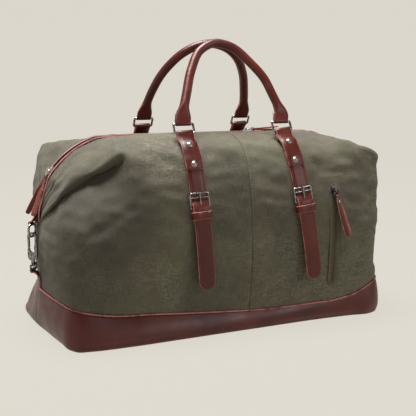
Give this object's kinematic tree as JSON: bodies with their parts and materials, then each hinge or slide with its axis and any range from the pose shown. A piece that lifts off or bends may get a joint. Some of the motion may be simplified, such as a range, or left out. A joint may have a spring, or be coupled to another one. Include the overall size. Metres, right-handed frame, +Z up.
{
  "type": "duffel bag",
  "caption": "Canvas weekender duffel bag with leather base, rolled leather handles on rings, buckled front straps, top zipper and clipped zip ends.",
  "frame": {"origin": "centre of the flat underside, on the surface the bag stands on", "axes": "+X along the bag's length to its right, -Y the front with the buckled straps, +Z up"},
  "size_m": [0.5822, 0.2919, 0.438],
  "materials": {
    "canvas": "waxed cotton canvas, matt",
    "base_leather": "smooth, satin",
    "raw_edge": "raw cut edge, matt",
    "board": "stiff base board",
    "lining": "plain woven lining",
    "zip_tape": "woven zipper tape",
    "zip_metal": "polished nickel",
    "black_metal": "black nickel",
    "strap_leather": "smooth, satin",
    "handle_core": "cotton rope",
    "gunmetal": "gunmetal, polished",
    "antique_silver": "antique silver"
  },
  "bodies": {
    "bag": {"canvas_front_left": "canvas", "canvas_front_right": "canvas", "canvas_back_left": "canvas", "canvas_back_right": "canvas", "base_leather_front": "base_leather", "base_leather_back": "base_leather", "base_bottom": "base_leather", "base_piping": "raw_edge", "base_board": "board", "lining": "lining", "pocket_bag": "lining", "zip_tape": "zip_tape", "pocket_zip": "zip_tape", "zip_teeth": "zip_metal", "zip_facing_front": "strap_leather", "zip_facing_back": "strap_leather", "strap_left": "strap_leather", "strap_right": "strap_leather", "buckle_chapes": "strap_leather", "strap_keepers": "strap_leather", "tab_front_left": "strap_leather", "tab_front_right": "strap_leather", "tab_back_left": "strap_leather", "tab_back_right": "strap_leather", "end_tab_upper_left": "strap_leather", "end_tab_upper_right": "strap_leather", "end_tab_lower_left": "strap_leather", "end_tab_lower_right": "strap_leather", "buckle_frames": "gunmetal", "swivel_eye_left": "gunmetal", "swivel_eye_right": "gunmetal", "front_tab_rivets": "antique_silver", "back_tab_rivets": "antique_silver", "end_rivets": "antique_silver"},
    "front_ring_left": {"handle_ring_front_left": "gunmetal"},
    "front_ring_right": {"handle_ring_front_right": "gunmetal"},
    "front_handle": {"handle_front": "strap_leather", "handle_core_front": "handle_core"},
    "back_ring_left": {"handle_ring_back_left": "gunmetal"},
    "back_ring_right": {"handle_ring_back_right": "gunmetal"},
    "back_handle": {"handle_back": "strap_leather", "handle_core_back": "handle_core"},
    "left_slider": {"main_slider_left": "zip_metal"},
    "left_zip_pull": {"left_pull_bail": "zip_metal", "left_pull": "strap_leather"},
    "right_slider": {"main_slider_right": "zip_metal"},
    "right_zip_pull": {"right_pull_bail": "zip_metal", "right_pull": "strap_leather"},
    "pocket_slider_body": {"pocket_slider": "black_metal"},
    "pocket_zip_pull": {"pocket_pull_bail": "black_metal", "pocket_pull": "strap_leather"},
    "left_prong": {"buckle_prong_left": "gunmetal"},
    "right_prong": {"buckle_prong_right": "gunmetal"},
    "left_end_ring": {"end_ring_left": "gunmetal"},
    "right_end_ring": {"end_ring_right": "gunmetal"},
    "left_snap_hook": {"snap_hook_left": "gunmetal"},
    "right_snap_hook": {"snap_hook_right": "gunmetal"},
    "left_hook_gate": {"hook_gate_left": "gunmetal"},
    "right_hook_gate": {"hook_gate_right": "gunmetal"}
  },
  "joints": [
    {"name": "front_ring_left_hinge", "type": "hinge", "parent": "bag", "child": "front_ring_left", "pos_m": [-0.06874, -0.087, 0.299], "axis": [1, 0, 0], "range_deg": [0, 75]},
    {"name": "front_ring_right_hinge", "type": "hinge", "parent": "bag", "child": "front_ring_right", "pos_m": [0.09229, -0.087, 0.299], "axis": [1, 0, 0], "range_deg": [0, 75]},
    {"name": "front_handle_hinge", "type": "hinge", "parent": "front_ring_left", "child": "front_handle", "pos_m": [-0.06874, -0.0793, 0.31234], "axis": [1, 0, 0], "range_deg": [0, 55]},
    {"name": "back_ring_left_hinge", "type": "hinge", "parent": "bag", "child": "back_ring_left", "pos_m": [-0.08142, 0.087, 0.299], "axis": [-1, 0, 0], "range_deg": [0, 75]},
    {"name": "back_ring_right_hinge", "type": "hinge", "parent": "bag", "child": "back_ring_right", "pos_m": [0.09416, 0.087, 0.299], "axis": [-1, 0, 0], "range_deg": [0, 75]},
    {"name": "back_handle_hinge", "type": "hinge", "parent": "back_ring_left", "child": "back_handle", "pos_m": [-0.08142, 0.0793, 0.31234], "axis": [-1, 0, 0], "range_deg": [0, 55]},
    {"name": "left_slider_travel", "type": "hinge", "parent": "bag", "child": "left_slider", "pos_m": [-0.14136, 0, 0.15748], "axis": [0, 1, 0], "range_deg": [0, 31.2]},
    {"name": "left_pull_hinge", "type": "hinge", "parent": "left_slider", "child": "left_zip_pull", "pos_m": [-0.25576, 0, 0.24347], "axis": [0, 1, 0], "range_deg": [0, 130]},
    {"name": "right_slider_travel", "type": "slide", "parent": "bag", "child": "right_slider", "axis": [1, 0, 0], "range_m": [-0.19, 0.05]},
    {"name": "right_pull_hinge", "type": "hinge", "parent": "right_slider", "child": "right_zip_pull", "pos_m": [0.07, 0, 0.2957], "axis": [0, -1, 0], "range_deg": [0, 175]},
    {"name": "pocket_slider_travel", "type": "hinge", "parent": "bag", "child": "pocket_slider_body", "pos_m": [0.159, 0.25739, 0.1277], "axis": [1, 0, 0], "range_deg": [0, 19.5]},
    {"name": "pocket_pull_hinge", "type": "hinge", "parent": "pocket_slider_body", "child": "pocket_zip_pull", "pos_m": [0.159, -0.13846, 0.20933], "axis": [-1, 0, 0], "range_deg": [0, 140]},
    {"name": "left_prong_hinge", "type": "hinge", "parent": "bag", "child": "left_prong", "pos_m": [-0.06312, -0.13864, 0.19364], "axis": [0.9986, 0.0087, 0.0522], "range_deg": [0, 14]},
    {"name": "left_end_ring_hinge", "type": "hinge", "parent": "bag", "child": "left_end_ring", "pos_m": [-0.2835, 0, 0.163], "axis": [0.5736, 0.8192, 0], "range_deg": [-2.5, 2.5]},
    {"name": "left_hook_swivel", "type": "hinge", "parent": "bag", "child": "left_snap_hook", "pos_m": [-0.2835, 0, 0.1], "axis": [0, 0, 1], "range_deg": [-24, 24]},
    {"name": "left_gate_hinge", "type": "hinge", "parent": "left_snap_hook", "child": "left_hook_gate", "pos_m": [-0.28841, 0.00344, 0.1223], "axis": [0.5736, 0.8192, 0], "range_deg": [0, 22], "stiffness_Nm_per_rad": 0.02, "springref_deg": -17.19},
    {"name": "right_prong_hinge", "type": "hinge", "parent": "bag", "child": "right_prong", "pos_m": [0.10522, -0.13864, 0.19364], "axis": [0.9926, 0.0199, 0.1195], "range_deg": [0, 14]},
    {"name": "right_end_ring_hinge", "type": "hinge", "parent": "bag", "child": "right_end_ring", "pos_m": [0.2835, 0, 0.163], "axis": [-0.5736, 0.8192, 0], "range_deg": [-2.5, 2.5]},
    {"name": "right_hook_swivel", "type": "hinge", "parent": "bag", "child": "right_snap_hook", "pos_m": [0.2835, 0, 0.1], "axis": [0, 0, 1], "range_deg": [-24, 24]},
    {"name": "right_gate_hinge", "type": "hinge", "parent": "right_snap_hook", "child": "right_hook_gate", "pos_m": [0.28841, 0.00344, 0.1223], "axis": [0.5736, -0.8192, 0], "range_deg": [0, 22], "stiffness_Nm_per_rad": 0.02, "springref_deg": -17.19}
  ],
  "couplings": [
    {"joint": "front_ring_right_hinge", "follows": "front_ring_left_hinge", "ratio": 1},
    {"joint": "back_ring_right_hinge", "follows": "back_ring_left_hinge", "ratio": 1}
  ]
}
